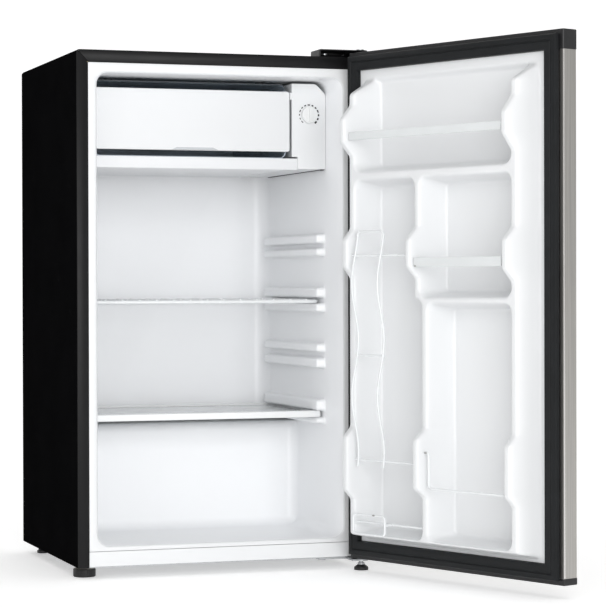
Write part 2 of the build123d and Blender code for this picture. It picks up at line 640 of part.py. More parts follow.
with BuildPart() as condenser_clips:
    for across in (-170.0, 170.0):
        for level in (COIL_LOW + COIL_STEP, COIL_LOW + (PASSES - 2) * COIL_STEP):
            slab(cabinet_elevation(COIL_DEPTH - 2.4), across - 8, across + 8, level - 7, level + 7,
                 COIL_DEPTH - 2.4 - DEPTH, radius=2.0)
finish(condenser_clips, "condenser_clips")

TUBE_LEVEL = 196.5
with BuildPart() as discharge_tube:
    rod(cabinet_section(STUB[0]), ((STUB[1], STUB_TOP), (STUB[1], TUBE_LEVEL),
                                   (COIL_DEPTH - 16, TUBE_LEVEL)), 2.4, corner=8.0)
    rod(cabinet_plan(TUBE_LEVEL), ((STUB[0], COIL_DEPTH - 16), (STUB[0], COIL_DEPTH),
                                   (STUB[0] - 16, COIL_DEPTH)), 2.4, corner=15.0)
    rod(cabinet_elevation(COIL_DEPTH), ((STUB[0] - 16, TUBE_LEVEL), (-COIL_HALF, TUBE_LEVEL),
                                        (-COIL_HALF, COIL_INLET)), 2.4, corner=20.0)
finish(discharge_tube, "discharge_tube")

with BuildPart() as filter_drier:
    with BuildSketch(cabinet_plan(70.0)):
        with Locations((-150.0, 340.0)):
            Circle(9.0)
    extrude(amount=84.0)
    chamfer(filter_drier.edges().filter_by(GeomType.CIRCLE), 5.0)
    discs(cabinet_plan(58.0), ((-150.0, 340.0),), 2.4, 108.0)
finish(filter_drier, "filter_drier")


# ---------------------------------------------------------------- door shell
CAP_JOINT_TOP = DOOR_TOP - TOP_CAP
CAP_JOINT_LOW = DOOR_BOTTOM + BOTTOM_CAP
RETURN = 11.5
with BuildPart() as door_skin:
    with BuildSketch(door_plan(CAP_JOINT_LOW)) as fold:
        rectangle(0, WIDTH, 0, DOOR_THICK)
        fillet(fold.vertices().group_by(Axis.Y)[-1], 2.5)
    extrude(amount=CAP_JOINT_TOP - CAP_JOINT_LOW)
    with BuildSketch(door_plan(CAP_JOINT_LOW)) as inside_fold:
        rectangle(SKIN, WIDTH - SKIN, SKIN, DOOR_THICK - SKIN)
        fillet(inside_fold.vertices().group_by(Axis.Y)[-1], 1.9)
    extrude(amount=CAP_JOINT_TOP - CAP_JOINT_LOW, mode=Mode.SUBTRACT)
    slab(door_plan(CAP_JOINT_LOW), RETURN, WIDTH - RETURN, -1, SKIN * 2,
         CAP_JOINT_TOP - CAP_JOINT_LOW, mode=Mode.SUBTRACT)
finish(door_skin, "door_skin")

HINGE_HOLE = (HINGE_INSET, HINGE_DEPTH)
with BuildPart() as door_top_cap:
    with BuildSketch(door_plan(CAP_JOINT_TOP)):
        rectangle(-0.4, WIDTH + 0.4, 0, DOOR_THICK + 0.8, radius=3.0)
    extrude(amount=TOP_CAP)
    chamfer(door_top_cap.faces().sort_by(Axis.Z)[-1].edges(), 0.8)
    slab(door_plan(CAP_JOINT_TOP), CAP_WALL, WIDTH - CAP_WALL, CAP_WALL,
         DOOR_THICK - CAP_WALL, TOP_CAP - CAP_WALL, mode=Mode.SUBTRACT)
    discs(door_plan(CAP_JOINT_TOP), (HINGE_HOLE,), BUSH_RADIUS, TOP_CAP + 1, mode=Mode.SUBTRACT)
finish(door_top_cap, "door_top_cap")

with BuildPart() as door_bottom_cap:
    with BuildSketch(door_plan(DOOR_BOTTOM)):
        rectangle(-0.4, WIDTH + 0.4, 0, DOOR_THICK + 0.8, radius=3.0)
    extrude(amount=BOTTOM_CAP)
    chamfer(door_bottom_cap.faces().sort_by(Axis.Z)[0].edges(), 0.8)
    slab(door_plan(DOOR_BOTTOM + CAP_WALL), CAP_WALL, WIDTH - CAP_WALL, CAP_WALL,
         DOOR_THICK - CAP_WALL, BOTTOM_CAP, mode=Mode.SUBTRACT)
    discs(door_plan(DOOR_BOTTOM), (HINGE_HOLE,), BUSH_RADIUS, BOTTOM_CAP, mode=Mode.SUBTRACT)
finish(door_bottom_cap, "door_bottom_cap")

with BuildPart() as door_bushes:
    for base, height in ((DOOR_BOTTOM, 14.0), (DOOR_TOP - 14.0, 14.0)):
        discs(door_plan(base), (HINGE_HOLE,), BUSH_RADIUS, height)
        discs(door_plan(base), (HINGE_HOLE,), PIN_RADIUS + RUNNING, height, mode=Mode.SUBTRACT)
finish(door_bushes, "door_bushes")

with BuildPart() as door_foam:
    slab(door_plan(CAP_JOINT_LOW), SKIN, WIDTH - SKIN, SKIN * 2, DOOR_THICK - SKIN - 2,
         CAP_JOINT_TOP - CAP_JOINT_LOW)
    slab(door_elevation(RECESS + LINER_SHEET), RIM_LEFT, RIM_RIGHT, RIM_LOW, RIM_HIGH,
         RECESS + LINER_SHEET, mode=Mode.SUBTRACT)
    discs(door_plan(CAP_JOINT_LOW), (HINGE_HOLE,), BUSH_RADIUS + 0.2, 10.0, mode=Mode.SUBTRACT)
finish(door_foam, "door_foam")

# ---------------------------------------------------------------- door liner
POCKETS = ((RIM_LEFT + RIM_WALL, RIM_RIGHT - RIM_WALL, SHELF_1[1], RIM_HIGH + 30.0),
           (RIM_LEFT + RIM_WALL, DIVIDER_UPPER[0], SHELF_2[0] - 30.0, SHELF_1[0]),
           (RIM_LEFT + RIM_WALL, DIVIDER_LOWER[0], FLOOR, SHELF_2[0] + 6.0),
           (DIVIDER_UPPER[1], RIM_RIGHT - RIM_WALL, SHELF_2[1], SHELF_1[0]),
           (DIVIDER_LOWER[1], RIM_RIGHT - RIM_WALL, FLOOR, SHELF_2[0]))
# each bulge of the rim: side of the door, width, full-height stretch, shoulder and height
BULGES = ((RIM_LEFT, RIM_WALL, 652.0, 688.0, 20.0, 62.0),
          (RIM_LEFT, RIM_WALL, 465.0, 506.0, 16.0, 57.0),
          (RIM_LEFT, RIM_WALL, 130.0, 210.0, 14.0, 57.0),
          (RIM_RIGHT - RIM_WALL, RIM_WALL, 650.0, 680.0, 24.0, 62.0),
          (RIM_RIGHT - RIM_WALL, RIM_WALL, 460.0, 502.0, 18.0, 61.0),
          (RIM_RIGHT - RIM_WALL, RIM_WALL, 141.0, 213.0, 14.0, 57.0),
          (DIVIDER_UPPER[0], 19.0, 465.0, 505.0, 18.0, 61.0),
          (DIVIDER_LOWER[0], 19.0, 142.0, 214.0, 14.0, 61.0))


def pocket_sketch(grow):
    """The door compartments seen from inside, grown on every side."""
    for left, right, low, high in POCKETS:
        rectangle(left - grow, right + grow, low - grow, high + grow, radius=POCKET_CORNER + grow)


with BuildPart() as rim:
    with BuildSketch(door_section(RIM_LEFT)):
        with BuildLine():
            Polyline((RECESS + LINER_SHEET, RIM_LOW), (-LINER_SHEET, RIM_LOW),
                     (-RIM_HEIGHT, RIM_LOW + 4), (-RIM_HEIGHT, RIM_HIGH - 22),
                     (-LINER_SHEET, RIM_HIGH), (RECESS + LINER_SHEET, RIM_HIGH), close=True)
        make_face()
    extrude(amount=RIM_RIGHT - RIM_LEFT)
    with BuildSketch(door_elevation(RECESS)):
        pocket_sketch(0.0)
        rectangle(0, WIDTH, RIM_HIGH, RIM_HIGH + 60.0, mode=Mode.SUBTRACT)
    extrude(amount=RECESS + RIM_HEIGHT + 5, mode=Mode.SUBTRACT)
    crest = door_elevation(-RIM_HEIGHT)
    crest_faces = [f for f in rim.faces() if abs(crest.to_local_coords(f.center()).Z) < 0.01]
    fillet([e for f in crest_faces for e in f.edges()], 4.0)

with BuildPart() as door_liner:
    slab(door_elevation(0), RETURN + 0.3, WIDTH - RETURN - 0.3, DOOR_BOTTOM + RETURN + 0.3,
         DOOR_TOP - RETURN - 0.3, LINER_SHEET)
    slab(door_elevation(0), RIM_LEFT, RIM_RIGHT, RIM_LOW, RIM_HIGH, LINER_SHEET, mode=Mode.SUBTRACT)
    add(rim.part)
    for start, width, low, high, shoulder, height in BULGES:
        with BuildSketch(door_section(start)) as bump:
            with BuildLine():
                Polyline((-20, low - shoulder), (-RIM_HEIGHT, low - shoulder), (-height, low),
                         (-height, high), (-RIM_HEIGHT, high + shoulder), (-20, high + shoulder),
                         close=True)
            make_face()
        extrude(amount=width)
finish(door_liner, "door_liner")

with BuildPart() as door_gasket:
    for low_inset, high_inset, out, proud in ((GASKET_OUT, GASKET_IN, -LINER_SHEET, GASKET_PROUD),
                                              (GASKET_OUT, RETURN, 0.0, LINER_SHEET)):
        with BuildSketch(door_elevation(out)):
            rectangle(low_inset, WIDTH - low_inset, DOOR_BOTTOM + low_inset, DOOR_TOP - low_inset,
                      radius=3.0)
            rectangle(high_inset, WIDTH - high_inset, DOOR_BOTTOM + high_inset,
                      DOOR_TOP - high_inset, mode=Mode.SUBTRACT)
        extrude(amount=proud + out)
    chamfer(door_gasket.faces().sort_by(Axis(DOOR_CORNER, OUTWARD * -1))[-1]
            .edges(), 1.5)
    with BuildSketch(door_elevation(-5.0)):
        rectangle(GASKET_OUT + 5, WIDTH - GASKET_OUT - 5, DOOR_BOTTOM + GASKET_OUT + 5,
                  DOOR_TOP - GASKET_OUT - 5)
        rectangle(GASKET_IN - 5, WIDTH - GASKET_IN + 5, DOOR_BOTTOM + GASKET_IN - 5,
                  DOOR_TOP - GASKET_IN + 5, mode=Mode.SUBTRACT)
    extrude(amount=4.0, mode=Mode.SUBTRACT)
finish(door_gasket, "door_gasket")

with BuildPart() as gasket_magnet:
    with BuildSketch(door_elevation(-5.4)):
        rectangle(GASKET_OUT + 6, WIDTH - GASKET_OUT - 6, DOOR_BOTTOM + GASKET_OUT + 6,
                  DOOR_TOP - GASKET_OUT - 6)
        rectangle(GASKET_IN - 6, WIDTH - GASKET_IN + 6, DOOR_BOTTOM + GASKET_IN - 6,
                  DOOR_TOP - GASKET_IN + 6, mode=Mode.SUBTRACT)
    extrude(amount=3.0)
finish(gasket_magnet, "gasket_magnet")

STRIP_OUT = -54.0
with BuildPart() as upper_strip:
    slab(door_elevation(STRIP_OUT), RIM_LEFT + RIM_WALL, RIM_RIGHT - RIM_WALL, 655.0, 667.0, 2.5,
         radius=1.0)
finish(upper_strip, "upper_strip")

with BuildPart() as lower_strip:
    slab(door_elevation(STRIP_OUT), DIVIDER_UPPER[1], RIM_RIGHT - RIM_WALL, 464.0, 478.0, 2.5,
         radius=1.0)
finish(lower_strip, "lower_strip")

# ---------------------------------------------------------------- wires in the door
RACK_LEFT = 72.0
RACK_RIGHT = 129.0
RACK_MIDDLE = -52.0
RACK_SWING = 6.5
RACK_PERIOD = 168.0
RACK_PEAK = 356.0
RACK_LOW = 166.0
RACK_HIGH = 510.0
RACK_STEPS = 24


def rack_out(height):
    """How far out from the door's inner face the can rack's wavy wires lie."""
    return RACK_MIDDLE + RACK_SWING * cos(2 * pi * (height - RACK_PEAK) / RACK_PERIOD)


with BuildPart() as can_rack_wire:
    levels = [RACK_LOW + (RACK_HIGH - RACK_LOW) * i / RACK_STEPS for i in range(RACK_STEPS + 1)]
    for along in (RACK_LEFT, RACK_RIGHT):
        curved_rod(door_plan(0), [(along, rack_out(z), z) for z in levels], WIRE)
    top_out = rack_out(RACK_HIGH)
    rod(door_elevation(top_out), ((RACK_LEFT, RACK_HIGH - 2), (RACK_LEFT, RACK_HIGH + 8),
                                  (RACK_RIGHT, RACK_HIGH + 8), (RACK_RIGHT, RACK_HIGH - 2)),
        WIRE, corner=6.0)
    for level, left, right in ((482.0, RIM_LEFT + RIM_WALL, DIVIDER_UPPER[0]),
                               (333.0, RACK_LEFT - 1, RACK_RIGHT + 1),
                               (176.0, RIM_LEFT + RIM_WALL, DIVIDER_LOWER[0])):
        rod(door_elevation(rack_out(level) + 2 * WIRE - 0.4), ((left, level), (right, level)), WIRE)
finish(can_rack_wire, "can_rack_wire")

STOP_OUT = -52.0
STOP_BACK = -36.0
with BuildPart() as can_stop_wire:
    loop = ((137.0, 95.0), (137.0, 66.0), (67.0, 66.0), (67.0, 95.0))
    rod(door_elevation(STOP_OUT), loop, WIRE, corner=6.0, close=True)
    rod(door_elevation(STOP_BACK), ((RIM_LEFT + RIM_WALL, 82.0), (DIVIDER_LOWER[0], 82.0)), WIRE)
    for along in (67.0, 137.0):
        rod(door_plan(82.0), ((along, STOP_OUT), (along, STOP_BACK)), WIRE)
finish(can_stop_wire, "can_stop_wire")

with BuildPart() as bottle_wire:
    rod(door_elevation(-50.0), ((DIVIDER_LOWER[1], 195.0), (DIVIDER_LOWER[1] + 9, 195.0),
                                (DIVIDER_LOWER[1] + 9, 143.0), (RIM_RIGHT - RIM_WALL, 143.0)),
        WIRE, corner=6.0)
finish(bottle_wire, "bottle_wire")

# ---------------------------------------------------------------- export
os.makedirs("parts", exist_ok=True)
for piece in pieces:
    export_step(piece, f"parts/{piece.label}.step")
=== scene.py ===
"""Compact refrigerator with its door open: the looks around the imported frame, in metres."""

import json
import math

import bmesh
import bpy
import numpy as np
from mathutils import Matrix, Vector
from mathutils.bvhtree import BVHTree


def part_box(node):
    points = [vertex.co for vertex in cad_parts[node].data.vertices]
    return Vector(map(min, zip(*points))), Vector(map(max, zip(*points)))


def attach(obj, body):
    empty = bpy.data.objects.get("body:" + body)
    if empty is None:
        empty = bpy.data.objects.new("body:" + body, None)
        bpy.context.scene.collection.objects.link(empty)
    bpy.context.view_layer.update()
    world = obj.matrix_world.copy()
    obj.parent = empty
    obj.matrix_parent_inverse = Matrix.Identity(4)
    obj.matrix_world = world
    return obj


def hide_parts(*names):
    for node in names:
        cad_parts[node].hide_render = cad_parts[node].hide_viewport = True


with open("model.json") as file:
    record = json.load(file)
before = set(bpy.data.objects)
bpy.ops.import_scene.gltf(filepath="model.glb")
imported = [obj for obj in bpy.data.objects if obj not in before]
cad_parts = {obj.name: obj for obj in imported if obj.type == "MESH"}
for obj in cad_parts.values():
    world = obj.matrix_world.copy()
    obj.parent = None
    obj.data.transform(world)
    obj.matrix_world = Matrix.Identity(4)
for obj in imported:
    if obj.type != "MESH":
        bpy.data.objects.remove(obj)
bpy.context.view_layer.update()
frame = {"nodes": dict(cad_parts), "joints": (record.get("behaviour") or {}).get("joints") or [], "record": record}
NODES = frame["nodes"]
RECORD = frame["record"]
SLOT_OF = {row["node"]: row["material_slot"] for row in RECORD["subparts"]}
BODY_OF = {node: body for body, members in RECORD["behaviour"]["bodies"].items() for node in members}
MM = 0.001

# ---------------------------------------------------------------- places, mostly from the frame
CABINET_LOW, CABINET_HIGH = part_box("outer_wrapper")
LINER_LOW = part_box("inner_liner")[0]
MIDLINE = (CABINET_LOW.x + CABINET_HIGH.x) / 2
FRONT = CABINET_LOW.y
HALF = (CABINET_HIGH.x - CABINET_LOW.x) / 2 / MM
TOP = CABINET_HIGH.z / MM
BOTTOM = CABINET_LOW.z / MM
DEPTH = (CABINET_HIGH.y - CABINET_LOW.y) / MM

DOOR_JOINT = next(joint for joint in frame["joints"] if joint["name"] == "door_hinge")
OPENING = math.radians(-DOOR_JOINT["range_deg"][0])
ALONG = Vector((-math.cos(OPENING), -math.sin(OPENING), 0.0))
OUTWARD = Vector((math.sin(OPENING), -math.cos(OPENING), 0.0))
HINGE_INSET = 10.4
HINGE_DEPTH = 13.7
HINGE = Vector((DOOR_JOINT["pos_m"][0], DOOR_JOINT["pos_m"][1], 0.0))
DOOR_CORNER = HINGE - ALONG * HINGE_INSET * MM - OUTWARD * HINGE_DEPTH * MM
DOOR_WIDTH = 2 * HALF
DOOR_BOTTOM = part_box("door_bottom_cap")[0].z / MM
DOOR_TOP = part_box("door_top_cap")[1].z / MM


def cabinet_point(across, depth, height):
    """A point given in millimetres from the cabinet's front centre, on the floor."""
    return Vector((MIDLINE + across * MM, FRONT + depth * MM, height * MM))


def door_point(along, out, height):
    """A point given in millimetres along the door, out from its inner face, and up."""
    return DOOR_CORNER + ALONG * along * MM + OUTWARD * out * MM + Vector((0, 0, height * MM))


# ---------------------------------------------------------------- materials
class Shader:
    """One material's node tree, with short calls for the nodes that it needs."""

    def __init__(self, name, color, roughness, metallic=0.0):
        self.material = bpy.data.materials.new(name)
        self.material.use_nodes = True
        self.tree = self.material.node_tree
        self.surface = self.tree.nodes["Principled BSDF"]
        self.surface.inputs["Base Color"].default_value = (*color, 1.0)
        self.surface.inputs["Roughness"].default_value = roughness
        self.surface.inputs["Metallic"].default_value = metallic
        self.color = color
        self.position = self.node("ShaderNodeTexCoord").outputs["Object"]

    def node(self, kind, **settings):
        made = self.tree.nodes.new(kind)
        for key, value in settings.items():
            setattr(made, key, value)
        return made

    def link(self, source, target):
        self.tree.links.new(source, target)

    def stretched(self, stretch):
        """Object coordinates, scaled on each axis."""
        mapping = self.node("ShaderNodeMapping")
        mapping.inputs["Scale"].default_value = stretch
        self.link(self.position, mapping.inputs["Vector"])
        return mapping.outputs["Vector"]

    def noise(self, scale, stretch=(1, 1, 1), detail=4.0, rough=0.55):
        texture = self.node("ShaderNodeTexNoise")
        texture.inputs["Scale"].default_value = scale
        texture.inputs["Detail"].default_value = detail
        texture.inputs["Roughness"].default_value = rough
        self.link(self.stretched(stretch), texture.inputs["Vector"])
        return texture.outputs["Fac"]

    def cells(self, scale, stretch=(1, 1, 1)):
        texture = self.node("ShaderNodeTexVoronoi")
        texture.inputs["Scale"].default_value = scale
        self.link(self.stretched(stretch), texture.inputs["Vector"])
        return texture.outputs["Distance"]

    def ramp(self, value, low, high, start=0.35, end=0.65):
        """Map a 0 to 1 value onto two colours."""
        ramp = self.node("ShaderNodeValToRGB")
        ramp.color_ramp.elements[0].position = start
        ramp.color_ramp.elements[1].position = end
        ramp.color_ramp.elements[0].color = (*low, 1.0)
        ramp.color_ramp.elements[1].color = (*high, 1.0)
        self.link(value, ramp.inputs["Fac"])
        return ramp.outputs["Color"]

    def tint(self, value, spread, start=0.35, end=0.65):
        """Vary the base colour a little with a texture."""
        low = tuple(c * (1 - spread) for c in self.color)
        high = tuple(min(1.0, c * (1 + spread)) for c in self.color)
        self.link(self.ramp(value, low, high, start, end), self.surface.inputs["Base Color"])
        return self

    def rough(self, value, low, high):
        """Vary the roughness with a texture."""
        span = self.node("ShaderNodeMapRange")
        span.inputs["To Min"].default_value = low
        span.inputs["To Max"].default_value = high
        self.link(value, span.inputs["Value"])
        self.link(span.outputs["Result"], self.surface.inputs["Roughness"])
        return self

    def bump(self, value, depth, strength=0.5):
        """Raise the surface with a texture; depth in metres."""
        bump = self.node("ShaderNodeBump")
        bump.inputs["Strength"].default_value = strength
        bump.inputs["Distance"].default_value = depth
        self.link(value, bump.inputs["Height"])
        self.link(bump.outputs["Normal"], self.surface.inputs["Normal"])
        return self


def moulded_plastic(name, color, roughness=0.34, grain=420.0):
    """Smooth plastic: faint cloudiness, a soft sheen and very fine orange peel."""
    shader = Shader(name, color, roughness)
    shader.tint(shader.noise(7.0, detail=1.0), spread=0.006)
    shader.rough(shader.noise(40.0, detail=1.0), roughness - 0.02, roughness + 0.05)
    shader.bump(shader.noise(grain), depth=0.00002, strength=0.10)
    return shader.material


def painted_metal(name, color, roughness=0.42, gloss=0.5):
    """Powder-coated steel with orange peel."""
    shader = Shader(name, color, roughness)
    shader.surface.inputs["Specular IOR Level"].default_value = gloss
    shader.tint(shader.noise(14.0), spread=0.10)
    shader.rough(shader.noise(40.0), roughness - 0.06, roughness + 0.08)
    shader.bump(shader.noise(900.0, detail=2.0), depth=0.00006, strength=0.45)
    return shader.material


def brushed_metal(name, color, roughness, streak, spread=0.10, metallic=1.0):
    """Metal brushed along one axis; streak scales the noise across the brushing."""
    shader = Shader(name, color, roughness, metallic)
    lines = shader.noise(1.0, streak, detail=6.0, rough=0.7)
    shader.tint(lines, spread, start=0.30, end=0.70)
    shader.rough(lines, roughness - 0.07, roughness + 0.09)
    shader.bump(lines, depth=0.00002, strength=0.35)
    return shader.material


def zinc_plated(name, color):
    """Zinc-plated steel with a faint spangle."""
    shader = Shader(name, color, roughness=0.38, metallic=0.9)
    shader.tint(shader.cells(160.0), spread=0.10, start=0.1, end=0.6)
    shader.rough(shader.noise(90.0), low=0.30, high=0.48)
    shader.bump(shader.noise(500.0), depth=0.00003, strength=0.3)
    return shader.material


def textured_black(name, color, roughness, grain=1400.0, gloss=0.4):
    """Dark plastic or rubber with a fine moulded grain."""
    shader = Shader(name, color, roughness)
    shader.surface.inputs["Specular IOR Level"].default_value = gloss
    shader.tint(shader.noise(30.0), spread=0.14)
    shader.rough(shader.noise(120.0), roughness - 0.06, roughness + 0.08)
    shader.bump(shader.cells(grain), depth=0.00005, strength=0.35)
    return shader.material


def foam_material(name, color):
    """Cut polyurethane foam: pores and a mottled colour."""
    shader = Shader(name, color, roughness=0.85)
    shader.tint(shader.noise(35.0), spread=0.12)
    shader.bump(shader.cells(700.0), depth=0.0004, strength=0.6)
    return shader.material


def copper_material(name, color):
    """Copper tube, slightly tarnished in patches."""
    tarnish = (0.42, 0.20, 0.12)
    shader = Shader(name, color, roughness=0.34, metallic=1.0)
    patches = shader.ramp(shader.noise(45.0), tarnish, color)
    shader.link(patches, shader.surface.inputs["Base Color"])
    shader.rough(shader.noise(80.0), low=0.28, high=0.46)
    return shader.material


def glass_material(name):
    """Toughened shelf glass with a light satin face."""
    shader = Shader(name, (0.93, 0.95, 0.96), roughness=0.18)
    shader.surface.inputs["Transmission Weight"].default_value = 0.30
    shader.surface.inputs["IOR"].default_value = 1.45
    shader.rough(shader.noise(70.0), low=0.12, high=0.26)
    return shader.material


def strip_material(name):
    """Milky clear retaining strip."""
    shader = Shader(name, (0.86, 0.885, 0.89), roughness=0.22)
    shader.surface.inputs["Transmission Weight"].default_value = 0.25
    shader.tint(shader.noise(18.0), spread=0.015)
    shader.rough(shader.noise(90.0), low=0.16, high=0.28)
    return shader.material


WHITE = (0.775, 0.785, 0.795)
LOOKS = {
    # the black coat has no reflection at all: painted shade, so that the cabinet's sides and top stay black
    "painted_steel": painted_metal("steel_black_coat", (0.0035, 0.0035, 0.0038), 0.45, 0.0),
    "rear_black": painted_metal("rear_black_coat", (0.012, 0.012, 0.012), 0.5, 0.3),
    "zinc_steel": zinc_plated("zinc_plated", (0.40, 0.41, 0.42)),
    "stainless": brushed_metal("stainless_brushed", (0.46, 0.447, 0.425), 0.36, (700, 700, 4), 0.20),
    "white_wire": moulded_plastic("wire_white_coat", (0.80, 0.82, 0.83), 0.25, 700.0),
    "copper_tube": copper_material("copper", (0.72, 0.38, 0.25)),
    "aluminium_sheet": brushed_metal("evaporator_sheet", (0.50, 0.57, 0.64), 0.45, (5, 40, 420), 0.35, 0.25),
    "liner_white": moulded_plastic("liner_white", WHITE, 0.30),
    "flap_white": moulded_plastic("flap_white", (0.735, 0.745, 0.757), 0.28),
    "tray_white": moulded_plastic("tray_white", (0.745, 0.755, 0.77), 0.28),
    "housing_white": moulded_plastic("housing_white", (0.765, 0.775, 0.785), 0.32),
    "dial_white": moulded_plastic("dial_white", (0.78, 0.79, 0.79), 0.30),
    "trim_white": moulded_plastic("trim_white", (0.86, 0.87, 0.875), 0.28),
    "black_plastic": textured_black("black_plastic", (0.012, 0.012, 0.013), 0.42),
    "grey_plastic": textured_black("grey_plastic", (0.32, 0.32, 0.31), 0.5),
    "insulation": foam_material("foam", (0.80, 0.69, 0.42)),
    "gasket_black": textured_black("gasket_rubber", (0.008, 0.009, 0.010), 0.55, 2200.0, 0.22),
    "magnet_strip": textured_black("magnet_strip", (0.10, 0.07, 0.06), 0.7),
    "grommet_rubber": textured_black("grommet_rubber", (0.02, 0.02, 0.02), 0.65),
    "shelf_glass": glass_material("shelf_glass"),
    "clear_strip": strip_material("clear_strip"),
}
# a lighter copy of the black coat with a sheen, for the shell's front-facing faces only: painted light
FRONT_LIT_COAT = painted_metal("steel_black_front_lit", (0.006, 0.006, 0.0065), 0.40, 0.20)
# a brighter copy of the liner white for the inside of the cavity: painted light, standing for light that reaches
# into it
CAVITY_PAINTED_LIGHT = moulded_plastic("cavity_white_painted_light", (0.955, 0.965, 0.98), 0.30)
FOOT_BASE = textured_black("foot_base", (0.014, 0.014, 0.014), 0.5)
PRINT = textured_black("printed_ink", (0.01, 0.01, 0.011), 0.6)
POINTER = moulded_plastic("pointer_grey", (0.22, 0.23, 0.24), 0.4)
# a dark copy of the sheet for its front-facing edge: painted shade
EVAPORATOR_EDGE_SHADE = brushed_metal("evaporator_edge_painted_shade", (0.05, 0.06, 0.07), 0.5, (5, 40, 420), 0.30, 0.2)
# a bright strip material for the door skin's fold: painted highlight
FOLD_HIGHLIGHT = brushed_metal("fold_painted_highlight", (0.80, 0.79, 0.77), 0.22, (300, 300, 4), 0.05)
WASHER = moulded_plastic("foot_washer", (0.62, 0.58, 0.50), 0.5)
# grey for the recessed finger grip: painted shade
GRIP_SHADE = moulded_plastic("grip_painted_shade", (0.52, 0.54, 0.56), 0.4)


# ---------------------------------------------------------------- mesh helpers
def shade(bm, angle=32.0):
    """Smooth shading, kept sharp where faces meet at more than this many degrees."""
    limit = math.radians(angle)
    for face in bm.faces:
        face.smooth = True
    for edge in bm.edges:
        edge.smooth = len(edge.link_faces) != 2 or edge.calc_face_angle(0.0) < limit


def to_object(bm, name, material, angle=32.0):
    """A scene object from a bmesh."""
    bmesh.ops.recalc_face_normals(bm, faces=bm.faces)
    shade(bm, angle)
    mesh = bpy.data.meshes.new(name)
    bm.to_mesh(mesh)
    bm.free()
    mesh.materials.append(material)
    piece = bpy.data.objects.new(name, mesh)
    bpy.context.scene.collection.objects.link(piece)
    return piece


def place(piece, *nodes):
    """The piece rides with its CAD nodes' body and stands for them; they are hidden."""
    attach(piece, BODY_OF[nodes[0]])
    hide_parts(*nodes)
    return piece


def detail(piece, body, slot):
    """A small added piece: it rides on a body; the slot is not used."""
    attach(piece, body)
    return piece


def bevel(piece, width, segments=2, angle=35.0):
    """Round a piece's edges by this many millimetres."""
    rounding = piece.modifiers.new("rounding", "BEVEL")
    rounding.width = width * MM
    rounding.segments = segments
    rounding.limit_method = "ANGLE"
    rounding.angle_limit = math.radians(angle)
    rounding.harden_normals = True
    return piece


def applied(piece, angle=32.0):
    """The same object with its modifiers worked into the mesh."""
    graph = bpy.context.evaluated_depsgraph_get()
    bm = bmesh.new()
    bm.from_mesh(piece.evaluated_get(graph).to_mesh())
    piece.modifiers.clear()
    shade(bm, angle)
    bm.to_mesh(piece.data)
    bm.free()
    return piece


FLARE_CLEARANCE = 8.0
STEP_CLEARANCE = 6.0


def drawn_back(point):
    """A point of the foam, moved clear of the liner's flare and of the step's rounded edge."""
    moved = point.copy()
    depth, height = (point.y - FRONT) / MM, point.z / MM
    aside = abs(point.x - MIDLINE) / MM
    beside_flare = depth < 30 and 172 < aside < 200
    beside_step = aside < 192 and height < HUMP_TOP and depth > HUMP_FRONT - 2
    if beside_flare:
        moved.x += math.copysign(FLARE_CLEARANCE * MM, point.x - MIDLINE)
    if beside_step:
        moved.y += STEP_CLEARANCE * MM if depth < HUMP_FRONT + STEP_CLEARANCE else 0.0
        moved.z -= STEP_CLEARANCE * MM if height > HUMP_TOP - STEP_CLEARANCE else 0.0
    return moved


FOAM_INSET = 4.0
FOAM_PRESSED = 0.4


def pressed_flat(point):
    """A point of the door's foam, pressed towards the skin so that it stays under the soft liner."""
    out = (point - DOOR_CORNER).dot(OUTWARD) / MM
    if out >= FOAM_INSET:
        return point
    return point + OUTWARD * (FOAM_INSET - FOAM_PRESSED * min(out, 0.0)) * MM


def softened(node, rounding=0.0, reshape=lambda point: point, material=None):
    """A copy of a CAD node with smooth curves, and rounded edges where asked, standing for it."""
    source = NODES[node].data
    bm = bmesh.new()
    corners = [bm.verts.new(reshape(v.co)) for v in source.vertices]
    for polygon in source.polygons:
        try:
            bm.faces.new([corners[i] for i in polygon.vertices])
        except ValueError:
            continue
    bmesh.ops.remove_doubles(bm, verts=bm.verts, dist=1e-6)
    bmesh.ops.dissolve_degenerate(bm, edges=bm.edges, dist=1e-7)
    if rounding:
        bmesh.ops.dissolve_limit(bm, angle_limit=math.radians(0.8), verts=bm.verts, edges=bm.edges)
    piece = to_object(bm, f"{node}_look", material or LOOKS[SLOT_OF[node]])
    if rounding:
        bevel(piece, rounding)
    return place(piece, node)


# ---------------------------------------------------------------- cabinet shell
def prism(bm, outline, low, high, point):
    """A closed prism: the outline's points at two levels, placed by a function of three values."""
    near = [bm.verts.new(point(a, low, b)) for a, b in outline]
    far = [bm.verts.new(point(a, high, b)) for a, b in outline]
    count = len(outline)
    bm.faces.new(near)
    bm.faces.new(far[::-1])
    for i in range(count):
        j = (i + 1) % count
        bm.faces.new((near[j], near[i], far[i], far[j]))


SIDE_FLANGE = 17.4
TOP_FLANGE = 18.6
SEAM = 0.6
SEAM_DEPTH = 1.4
LAP_DEPTH = 3.0
TOP_RADIUS = 4.0
FRONT_FACING = -0.25


def arc_points(centre, radius, start, end, steps):
    """Points on an arc, angles in degrees."""
    angles = [math.radians(start + (end - start) * i / steps) for i in range(steps + 1)]
    return [(centre[0] + radius * math.cos(a), centre[1] + radius * math.sin(a)) for a in angles]


